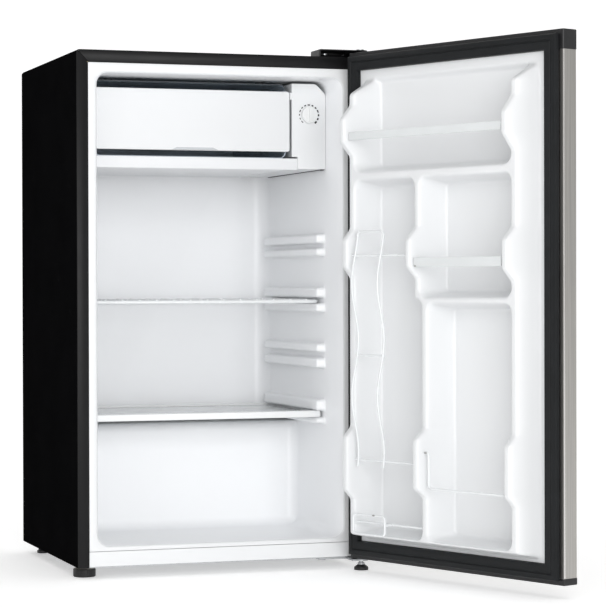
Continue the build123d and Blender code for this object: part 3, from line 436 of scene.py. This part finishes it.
def build_shell():
    """Steel sides and top, as a frame as thick as its front flange, mitred at the top corners."""
    inner_half = HALF - SIDE_FLANGE
    inner_top = TOP - TOP_FLANGE
    corner_centre = (HALF - TOP_RADIUS, TOP - TOP_RADIUS)
    bm = bmesh.new()
    right_corner = arc_points(corner_centre, TOP_RADIUS, 45, 0, 4)
    for side in (-1, 1):
        outline = [(inner_half, BOTTOM), (inner_half, inner_top - SEAM)]
        outline += [(x, z - SEAM) for x, z in right_corner] + [(HALF, BOTTOM)]
        prism(bm, [(side * x, z) for x, z in outline], 0.0, DEPTH, cabinet_point)
    top_right = arc_points(corner_centre, TOP_RADIUS, 45, 90, 4)
    outline = [(inner_half - SEAM, inner_top)] + [(x - SEAM, z) for x, z in top_right]
    outline += [(SEAM - x, z) for x, z in reversed(top_right)] + [(SEAM - inner_half, inner_top)]
    prism(bm, outline, 0.0, DEPTH, cabinet_point)
    lap = [(inner_half + 2, inner_top), (HALF - 3, TOP - 5),
           (HALF - 5, TOP - 3), (inner_half, inner_top + 2)]
    for side in (-1, 1):
        prism(bm, [(side * x, z) for x, z in lap], SEAM_DEPTH, LAP_DEPTH, cabinet_point)
    shell = to_object(bm, "cabinet_shell", LOOKS["painted_steel"])
    applied(bevel(shell, 0.9, segments=3))
    # front-facing faces take the lighter, glossier copy and the sides and top the darker one without reflection:
    # painted light and shade on one coat of paint
    shell.data.materials.append(FRONT_LIT_COAT)
    for face in shell.data.polygons:
        face.material_index = int(face.normal.y < FRONT_FACING)
    return place(shell, "outer_wrapper")


# ---------------------------------------------------------------- inner liner
RIB_PAIRS = ((220.5, 229.5, 241.0, 258.0), (308.0, 323.0, 333.0, 346.0),
             (396.0, 409.3, 419.0, 434.0), (484.0, 496.0, 504.0, 518.0))
RIB_REACH = 14.0
RIB_FRONT = {1: 65.0, -1: 86.0}
RIB_BACK = 338.0
CAVITY_HALF = 188.0
CAVITY_FLOOR = 49.0
CAVITY_TOP = 757.0
CAVITY_BACK = 367.0
CORNER = 18.0
BACK_CORNER = 24.0
HUMP_FRONT = 212.0
HUMP_TOP = 218.0
FLARE = 5.4
FLARE_END = 52.0
LINER_SHEET = 1.2
LIP_DEPTH = 1.8
WALL_STEP = 24.0
FINE_STEP = 0.75
MIDDLE_HEIGHT = 0.4


def dense_lines(low, high, edges, reach, fine, coarse):
    """Grid lines from low to high: fine steps near the edges, coarse steps elsewhere."""
    wanted = list(np.arange(low, high, coarse)) + [high]
    for edge in edges:
        wanted += list(np.arange(edge - reach, edge + reach + fine / 2, fine))
    wanted = sorted(v for v in wanted if low <= v <= high)
    kept = [wanted[0]]
    for value in wanted[1:]:
        if value - kept[-1] > fine * 0.6:
            kept.append(value)
    return kept


def rounded_distance(a, b, left, right, low, high, radius):
    """How far a point lies inside a rounded rectangle; negative outside."""
    da = abs(a - (left + right) / 2) - (right - left) / 2 + radius
    db = abs(b - (low + high) / 2) - (high - low) / 2 + radius
    return radius - math.hypot(max(da, 0.0), max(db, 0.0)) - min(max(da, db), 0.0)


def rib_height(depth, height, side):
    """How far the side wall stands in at a point: rounded ribs with filleted roots."""
    crest = 4.0
    root = 3.0
    best = 0.0
    for pair in RIB_PAIRS:
        for low, high in (pair[:2], pair[2:]):
            inside = rounded_distance(depth, height, RIB_FRONT[side], RIB_BACK, low, high, 4.4)
            if inside >= 0.0:
                left = crest - min(inside, crest)
                best = max(best, RIB_REACH - crest + math.sqrt(crest**2 - left**2))
            elif inside > -root:
                best = max(best, root - math.sqrt(root**2 - (root + inside) ** 2))
    return best


def cavity_loop(depth, half, low, high, radius, levels):
    """One ring of the liner at this depth, anticlockwise from the lower right corner's end."""
    radius = max(radius, 0.5)
    span = high - low - 2 * radius
    ring = []
    right_side = [low + radius + span * f for f in levels]
    for z in right_side:
        ring.append((half - rib_height(depth, z, 1), z))
    ring += arc_points((half - radius, high - radius), radius, 0, 90, 8)[1:]
    ring += [(half - radius - (2 * half - 2 * radius) * i / 12, high) for i in range(1, 12)]
    ring += arc_points((radius - half, high - radius), radius, 90, 180, 8)
    for z in right_side[::-1][1:]:
        ring.append((rib_height(depth, z, -1) - half, z))
    ring += arc_points((radius - half, low + radius), radius, 180, 270, 8)[1:]
    ring += [(radius - half + (2 * half - 2 * radius) * i / 12, low) for i in range(1, 12)]
    ring += arc_points((half - radius, low + radius), radius, 270, 360, 8)[:-1]
    return [cabinet_point(x, depth, z) for x, z in ring]


def build_liner():
    """The white food liner: lip, flare, ribs and rounded corners, at full height to the back."""
    rib_edges = [z for pair in RIB_PAIRS for z in pair]
    side_low = CAVITY_FLOOR + CORNER
    side_high = CAVITY_TOP - CORNER
    levels = [(z - side_low) / (side_high - side_low)
              for z in dense_lines(side_low, side_high, rib_edges, 4.5, FINE_STEP, WALL_STEP)]
    lip_half = HALF - SIDE_FLANGE - 0.1
    lip_top = TOP - TOP_FLANGE - 0.1
    lip_low = LINER_LOW.z / MM
    # each station: depth, half width, floor, top and corner radius
    stations = [(1.6, lip_half, lip_low, lip_top, 1.0),
                (0.3, lip_half - 0.4, lip_low + 0.3, lip_top - 0.4, 1.2),
                (0.0, lip_half - 1.2, lip_low + 0.8, lip_top - 1.2, 2.0),
                (0.0, 197.6, 46.6, 759.8, 19.0), (0.5, 196.0, 47.4, 758.4, 18.6),
                (1.8, 194.9, 48.2, 757.5, 18.2), (4.0, 194.2, 48.8, 757.1, CORNER)]
    for depth in (12.0, 22.0, 32.0, 42.0):
        flare = FLARE * (1 - depth / FLARE_END) ** 1.6
        stations.append((depth, CAVITY_HALF + flare, CAVITY_FLOOR, CAVITY_TOP, CORNER))
    straight_end = CAVITY_BACK - BACK_CORNER
    rib_ends = (*RIB_FRONT.values(), RIB_BACK)
    for depth in dense_lines(FLARE_END, straight_end, rib_ends, 5.0, FINE_STEP, WALL_STEP):
        stations.append((depth, CAVITY_HALF, CAVITY_FLOOR, CAVITY_TOP, CORNER))
    back_steps = 8
    for step in range(1, back_steps + 1):
        turn = math.radians(90 * step / back_steps)
        shrink = BACK_CORNER * (1 - math.cos(turn))
        stations.append((straight_end + BACK_CORNER * math.sin(turn), CAVITY_HALF - shrink,
                         CAVITY_FLOOR + shrink, CAVITY_TOP - shrink, CORNER - shrink))
    bm = bmesh.new()
    previous = None
    for depth, half, low, high, radius in stations:
        ring = [bm.verts.new(p) for p in cavity_loop(depth, half, low, high, radius, levels)]
        if previous:
            count = len(ring)
            for i in range(count):
                j = (i + 1) % count
                bm.faces.new((previous[i], previous[j], ring[j], ring[i]))
        previous = ring
    bm.faces.new(previous)
    liner = to_object(bm, "food_liner", LOOKS["liner_white"], 50.0)
    sheet = liner.modifiers.new("sheet", "SOLIDIFY")
    sheet.thickness = LINER_SHEET * MM
    outwards = sum(f.normal.z * (f.center.z - MIDDLE_HEIGHT) for f in liner.data.polygons)
    sheet.offset = -1.0 if outwards < 0 else 1.0
    applied(liner, 50.0)
    # the cavity's faces take the brighter copy and only the front lip keeps the liner white: painted light
    liner.data.materials.clear()
    liner.data.materials.append(CAVITY_PAINTED_LIGHT)
    liner.data.materials.append(LOOKS["liner_white"])
    for face in liner.data.polygons:
        face.material_index = int(face.center.y < FRONT + LIP_DEPTH * MM)
    return place(liner, "inner_liner")


def build_hump():
    """The step over the compressor: a closed block, with soft concave corners at the walls."""
    root = 16.0
    nose = 14.0
    overlap = 0.5
    turns = [math.radians(a) for a in range(15, 91, 15)]
    plan = [(-CAVITY_HALF - overlap, CAVITY_BACK)]
    plan += arc_points((-CAVITY_HALF + root, HUMP_FRONT - root), root, 180, 90, 8)
    plan += arc_points((CAVITY_HALF - root, HUMP_FRONT - root), root, 90, 0, 8)
    plan += [(CAVITY_HALF + overlap, CAVITY_BACK)]
    bm = bmesh.new()
    previous = None
    levels = [(CAVITY_FLOOR - overlap, -root)]
    levels += [(CAVITY_FLOOR + root * (1 - math.cos(turn)), root * (math.sin(turn) - 1)) for turn in turns]
    levels += [(HUMP_TOP - nose, 0.0)]
    levels += [(HUMP_TOP - nose + nose * math.sin(turn), nose * (1 - math.cos(turn))) for turn in turns]
    for height, back in levels:
        ring = [bm.verts.new(cabinet_point(x, y if y == CAVITY_BACK else y + back, height)) for x, y in plan]
        if previous:
            for i in range(len(ring)):
                j = (i + 1) % len(ring)
                bm.faces.new((previous[i], previous[j], ring[j], ring[i]))
        else:
            bm.faces.new(ring[::-1])
        previous = ring
    bm.faces.new(previous)
    # the step takes the cavity's brighter copy of the liner white: painted light
    hump = to_object(bm, "liner_step", CAVITY_PAINTED_LIGHT, 50.0)
    return detail(hump, "cabinet", "liner_white")


# ---------------------------------------------------------------- door
def smoothed(values, spread):
    """Values averaged along both directions with a bell curve of this many cells."""
    reach = int(3 * spread) + 1
    kernel = np.exp(-0.5 * (np.arange(-reach, reach + 1) / spread) ** 2)
    kernel /= kernel.sum()
    for axis in (0, 1):
        padded = np.pad(values, [(reach, reach) if axis == a else (0, 0) for a in (0, 1)], mode="edge")
        values = np.apply_along_axis(lambda row: np.convolve(row, kernel, mode="valid"), axis, padded)
    return values


def bending_lines(values, axis, limit=0.03, longest=9):
    """Indexes of the grid lines that the surface needs: all where it bends, few where it is flat."""
    bend = np.abs(np.diff(values, n=2, axis=axis)).max(axis=1 - axis)
    count = values.shape[axis]
    kept = [0]
    for i in range(1, count - 1):
        if bend[i - 1] > limit or i - kept[-1] >= longest:
            kept.append(i)
    return kept + [count - 1]


DOOR_LINER_SHEET = 1.0


def build_door_liner():
    """The vacuum-formed door liner: the CAD shape with soft edges, as one thin sheet."""
    pitch = 1.25
    softness = 2.0
    source = NODES["door_liner"].data
    tree = BVHTree.FromPolygons([v.co for v in source.vertices], [p.vertices for p in source.polygons])
    inset = 12.2
    along = np.arange(inset, DOOR_WIDTH - inset, pitch)
    up = np.arange(DOOR_BOTTOM + inset, DOOR_TOP - inset, pitch)
    start_out = -90.0
    heights = np.zeros((len(along), len(up)))
    for i, a in enumerate(along):
        for j, z in enumerate(up):
            distance = tree.ray_cast(door_point(a, start_out, z), OUTWARD)[3]
            heights[i, j] = -start_out - distance / MM if distance else 0.0
    heights = smoothed(heights, softness)
    rows = bending_lines(heights, 0)
    columns = bending_lines(heights, 1)
    bm = bmesh.new()
    grid = [[bm.verts.new(door_point(along[i], -heights[i, j], up[j])) for j in columns] for i in rows]
    for i in range(len(rows) - 1):
        for j in range(len(columns) - 1):
            bm.faces.new((grid[i][j], grid[i + 1][j], grid[i + 1][j + 1], grid[i][j + 1]))
    liner = to_object(bm, "door_inner_liner", LOOKS["liner_white"], 75.0)
    facing = sum(polygon.normal.dot(OUTWARD) * polygon.area for polygon in liner.data.polygons)
    sheet = liner.modifiers.new("sheet", "SOLIDIFY")
    sheet.thickness = DOOR_LINER_SHEET * MM
    sheet.offset = 1.0 if facing > 0 else -1.0
    applied(liner, 75.0)
    return place(liner, "door_liner")


# each point: in from the door's edge, and proud of its inner face
GASKET = ((6.6, 1.6), (6.6, 7.4), (7.4, 9.3), (9.2, 10.1), (14.6, 10.1), (15.4, 9.0),
          (16.6, 9.0), (17.4, 10.1), (26.4, 10.1), (28.2, 9.3), (29.0, 7.4), (29.0, 1.6))


def build_gasket():
    """Magnetic door seal: a bellows profile carried round the door with mitred corners."""
    bm = bmesh.new()
    rings = []
    for inset, proud in GASKET:
        low, high = DOOR_BOTTOM + inset, DOOR_TOP - inset
        corners = ((inset, low), (DOOR_WIDTH - inset, low), (DOOR_WIDTH - inset, high), (inset, high))
        rings.append([bm.verts.new(door_point(a, -proud, z)) for a, z in corners])
    for k, ring in enumerate(rings):
        following = rings[(k + 1) % len(rings)]
        for i in range(4):
            j = (i + 1) % 4
            bm.faces.new((ring[i], ring[j], following[j], following[i]))
    gasket = to_object(bm, "door_seal", LOOKS["gasket_black"], 28.0)
    return place(gasket, "door_gasket")


# ---------------------------------------------------------------- dial marks
DIAL_LOW, DIAL_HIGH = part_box("dial")
DIAL_X = (DIAL_LOW.x + DIAL_HIGH.x) / 2
DIAL_Z = (DIAL_LOW.z + DIAL_HIGH.z) / 2
HOUSING_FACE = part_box("control_housing")[0].y
MARK_RADIUS = 14.7
MARK_COUNT = 13
MARK_START = 225
MARK_SWEEP = 270
THINNEST_MARK = 1.3
MARK_GROWTH = 1.4


def build_dial_marks():
    """A printed ring of marks round the dial, thin at the warm end and thick at the cold end."""
    bm = bmesh.new()
    inner = MARK_RADIUS * MM
    front, back = HOUSING_FACE - 0.12 * MM, HOUSING_FACE + 0.1 * MM
    for number in range(MARK_COUNT):
        part = number / (MARK_COUNT - 1)
        middle = math.radians(MARK_START - MARK_SWEEP * part)
        outer = inner + (THINNEST_MARK + MARK_GROWTH * part) * MM
        sweep = math.radians(11.0 if number % 3 else 15.0) / 2
        angles = [middle - sweep + 2 * sweep * i / 4 for i in range(5)]
        outline = [(inner, a) for a in angles] + [(outer, a) for a in reversed(angles)]
        near = [bm.verts.new((DIAL_X + r * math.cos(a), front, DIAL_Z + r * math.sin(a))) for r, a in outline]
        far = [bm.verts.new((v.co.x, back, v.co.z)) for v in near]
        bm.faces.new(near)
        bm.faces.new(far[::-1])
        for i in range(len(near)):
            j = (i + 1) % len(near)
            bm.faces.new((near[j], near[i], far[i], far[j]))
    return detail(to_object(bm, "dial_marks", PRINT), "cabinet", "black_plastic")


def slab(bm, low, high):
    """A closed box between two corners."""
    outline = [(low.x, low.z), (high.x, low.z), (high.x, high.z), (low.x, high.z)]
    prism(bm, outline, low.y, high.y, lambda a, depth, b: Vector((a, depth, b)))


POINTER_LEAN = 8.0
POINTER_HALF = 0.75
POINTER_DEPTH = 1.2
POINTER_REACH = 0.72


def build_dial_pointer():
    """The narrow pointer rib down the middle of the dial."""
    bm = bmesh.new()
    half = (DIAL_HIGH.x - DIAL_LOW.x) / 2
    front = DIAL_LOW.y + 0.15 * MM
    slab(bm, Vector((DIAL_X - POINTER_HALF * MM, front, DIAL_Z - half * POINTER_REACH)),
         Vector((DIAL_X + POINTER_HALF * MM, front + POINTER_DEPTH * MM, DIAL_Z + half * POINTER_REACH)))
    bmesh.ops.rotate(bm, verts=bm.verts, cent=(DIAL_X, front, DIAL_Z),
                     matrix=Matrix.Rotation(math.radians(-POINTER_LEAN), 3, "Y"))
    pointer = bevel(to_object(bm, "dial_pointer", POINTER), 0.3)
    return detail(pointer, "dial", "dial_white")


def build_flap_grip():
    """The shallow finger grip along the middle of the flap's lower edge: a thin raised trapezoid in grey, painted
    shade standing for the recessed grip's shadow.
    """
    low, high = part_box("freezer_flap")
    bm = bmesh.new()
    outline = [(-66, 0.6), (16, 0.6), (4, 5.4), (-54, 5.4)]
    depth = (low.y - FRONT) / MM
    prism(bm, [(x, low.z / MM + z) for x, z in outline], depth + 0.05, depth + 1.5, cabinet_point)
    grip = bevel(to_object(bm, "flap_grip", GRIP_SHADE), 0.5)
    return detail(grip, "flap", "flap_white")


def build_housing_gap():
    """A dark strip in the gap between the control housing's underside and the liner's wall, standing for its
    shadow (painted shadow), with a dark catch at its front.
    """
    low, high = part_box("control_housing")
    bm = bmesh.new()
    slab(bm, Vector((high.x - 5.2 * MM, low.y + 3 * MM, low.z - 0.6 * MM)),
         Vector((high.x - 0.4 * MM, high.y - 2 * MM, low.z + 0.3 * MM)))
    slab(bm, Vector((high.x - 7.0 * MM, low.y + 1.5 * MM, low.z - 2.0 * MM)),
         Vector((high.x - 2.4 * MM, low.y + 6.5 * MM, low.z + 0.3 * MM)))
    # the strip along the housing's underside is a painted shadow; the small block at its front is the catch
    gap = bevel(to_object(bm, "housing_gap_shadow", LOOKS["grommet_rubber"]), 0.2)
    return detail(gap, "cabinet", "grommet_rubber")


def door_slab(bm, along, out, height):
    """A closed box in the door's own directions: three pairs of limits in millimetres."""
    outline = [(along[0], height[0]), (along[1], height[0]), (along[1], height[1]), (along[0], height[1])]
    prism(bm, outline, out[0], out[1], door_point)


def build_skin_fold():
    """A bright strip along the stainless skin's inner edge: a painted highlight for the light on the rounded fold.
    """
    bm = bmesh.new()
    low, high = (bound.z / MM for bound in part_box("door_skin"))
    door_slab(bm, (DOOR_WIDTH - 1.0, DOOR_WIDTH + 0.06), (0.9, 2.7), (low + 1.0, high - 1.0))
    return detail(to_object(bm, "skin_fold", FOLD_HIGHLIGHT), "door", "stainless")


CLIPS = ((207.0, -56.0, 464.5), (113.0, -54.5, 94.5), (224.0, -52.5, 193.5))
CLIP_WIDTH = 3.2
CLIP_HALF_DEPTH = 1.2
CLIP_HEIGHT = 2.2


def build_clips():
    """The small dark clips that hold the retaining strip and the wires in the door."""
    bm = bmesh.new()
    for along, out, height in CLIPS:
        door_slab(bm, (along, along + CLIP_WIDTH), (out - CLIP_HALF_DEPTH, out + CLIP_HALF_DEPTH),
                  (height, height + CLIP_HEIGHT))
    clips = bevel(to_object(bm, "wire_clips", LOOKS["grey_plastic"]), 0.4)
    return detail(clips, "door", "grey_plastic")


def build_evaporator():
    """The icebox sheet, with its front-facing upper edge painted dark round the flap: painted shade that hides the
    lit rim.
    """
    box = softened("evaporator")
    box.data.materials.append(EVAPORATOR_EDGE_SHADE)
    low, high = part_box("evaporator")
    middle = (low.z + high.z) / 2
    # front-facing faces above the middle take the painted shade
    for face in box.data.polygons:
        lowest = min(box.data.vertices[i].co.z for i in face.vertices)
        face.material_index = int(face.normal.y < -0.7 and lowest > middle)


FOOT_BASE_HEIGHT = 8.5
WASHER_THICKNESS = 0.3


def build_feet():
    """The front feet: a plated stem on a dark base, and a dark disc with a pale washer on top."""
    right = softened("front_right_foot", 0.4)
    right.data.materials.append(FOOT_BASE)
    for face in right.data.polygons:
        face.material_index = int(face.center.z < FOOT_BASE_HEIGHT * MM)
    left = softened("front_left_foot", 0.3)
    left.data.materials.append(WASHER)
    top = max(face.center.z for face in left.data.polygons)
    for face in left.data.polygons:
        face.material_index = int(face.center.z > top - WASHER_THICKNESS * MM)


# ---------------------------------------------------------------- everything else
ROUNDING = {
    "sill_panel": 0.6, "freezer_flap": 0.5, "drip_tray": 0.5, "control_housing": 1.2, "dial": 0.4,
    "upper_hinge_cover": 0.7, "door_top_cap": 0.7, "door_bottom_cap": 0.7, "flap_brackets": 0.4,
    "tray_rails": 0.5, "lower_shelf_trims": 0.4, "upper_strip": 0.5, "lower_strip": 0.5,
    "back_panel": 0.3, "base_pan": 0.3, "compressor_plate": 0.3,
    "lower_hinge_bracket": 0.5, "door_skin": 1.0, "relay_cover": 0.4, "rear_feet": 0.8,
    "condenser_clips": 0.5,
}


def build_all():
    """Every piece: the rebuilt ones first, then a softened copy of each node that is left."""
    build_shell()
    build_liner()
    build_hump()
    build_door_liner()
    build_gasket()
    build_dial_marks()
    build_flap_grip()
    build_dial_pointer()
    build_housing_gap()
    build_evaporator()
    build_feet()
    build_skin_fold()
    build_clips()
    softened("upper_hinge_bracket", 0.5, material=LOOKS["painted_steel"])
    softened("cabinet_foam", reshape=drawn_back)
    softened("door_foam", reshape=pressed_flat)
    done = {"outer_wrapper", "inner_liner", "door_liner", "door_gasket", "cabinet_foam", "door_foam",
            "front_right_foot", "front_left_foot", "upper_hinge_bracket", "evaporator"}
    for node in sorted(NODES):
        if node not in done:
            softened(node, ROUNDING.get(node, 0.0))


build_all()


# ---------------------------------------------------------------- stage, light and camera
FLOOR_GLOW = 0.36
WORLD_STRENGTH = 0.62


def build_stage():
    """A pale floor that curves up behind the object."""
    bm = bmesh.new()
    side = 9.0
    near = -8.0
    far = 4.0
    bend = 3.0
    wall_top = 9.0
    turns = [math.radians(a) for a in range(10, 91, 10)]
    profile = [(near, 0.0), (far, 0.0)]
    profile += [(far + bend * math.sin(turn), bend * (1 - math.cos(turn))) for turn in turns]
    profile += [(far + bend, wall_top)]
    rows = [[bm.verts.new((x, y, z)) for x in (-side, side)] for y, z in profile]
    for first, second in zip(rows, rows[1:]):
        bm.faces.new((first[0], first[1], second[1], second[0]))
    shader = Shader("studio_floor", (0.93, 0.93, 0.93), 0.7)
    shader.surface.inputs["Emission Color"].default_value = (1.0, 1.0, 1.0, 1.0)
    shader.surface.inputs["Emission Strength"].default_value = FLOOR_GLOW
    shader.tint(shader.noise(3.0), spread=0.01)
    floor = to_object(bm, "studio_floor", shader.material, 60.0)


def area_light(name, place_at, aim, size, power):
    """A square area light at a place, turned to a point; size in metres and power in watts."""
    lamp = bpy.data.lights.new(name, "AREA")
    lamp.size = size
    lamp.energy = power
    holder = bpy.data.objects.new(name, lamp)
    bpy.context.scene.collection.objects.link(holder)
    holder.location = place_at
    holder.rotation_euler = (Vector(aim) - Vector(place_at)).to_track_quat("-Z", "Y").to_euler()


def build_light():
    """An even pale surround, a key light from the front and a weak fill from the left."""
    world = bpy.data.worlds.new("studio")
    world.use_nodes = True
    world.node_tree.nodes["Background"].inputs["Color"].default_value = (1.0, 1.0, 1.0, 1.0)
    world.node_tree.nodes["Background"].inputs["Strength"].default_value = WORLD_STRENGTH
    bpy.context.scene.world = world
    bpy.context.scene.view_settings.view_transform = "Standard"
    area_light("key", (-0.35, -3.5, 0.85), (-0.08, 0.2, 0.42), size=1.7, power=50.0)
    area_light("fill", (-2.3, -2.6, 1.6), (0.1, 0.0, 0.4), size=1.6, power=7.0)


CAMERA_PLACE = Vector((-1.0906, -3.3498, 0.4393))
CAMERA_YAW = 18.69
CAMERA_PITCH = -0.487
CAMERA_ROLL = 0.143
CAMERA_LENS = 136.9


def build_camera():
    """A long lens at the front left, turned by yaw, pitch and roll in degrees."""
    camera = bpy.data.cameras.new("camera")
    camera.lens = CAMERA_LENS
    holder = bpy.data.objects.new("camera", camera)
    bpy.context.scene.collection.objects.link(holder)
    yaw, pitch = math.radians(CAMERA_YAW), math.radians(CAMERA_PITCH)
    ahead = Vector((math.sin(yaw) * math.cos(pitch), math.cos(yaw) * math.cos(pitch), math.sin(pitch)))
    roll = Matrix.Rotation(math.radians(-CAMERA_ROLL), 4, "Z").to_quaternion()
    holder.rotation_mode = "QUATERNION"
    holder.rotation_quaternion = ahead.to_track_quat("-Z", "Y") @ roll
    holder.location = CAMERA_PLACE
    camera.clip_start, camera.clip_end = 0.1, 100.0
    bpy.context.scene.camera = holder


build_stage()
build_light()
build_camera()
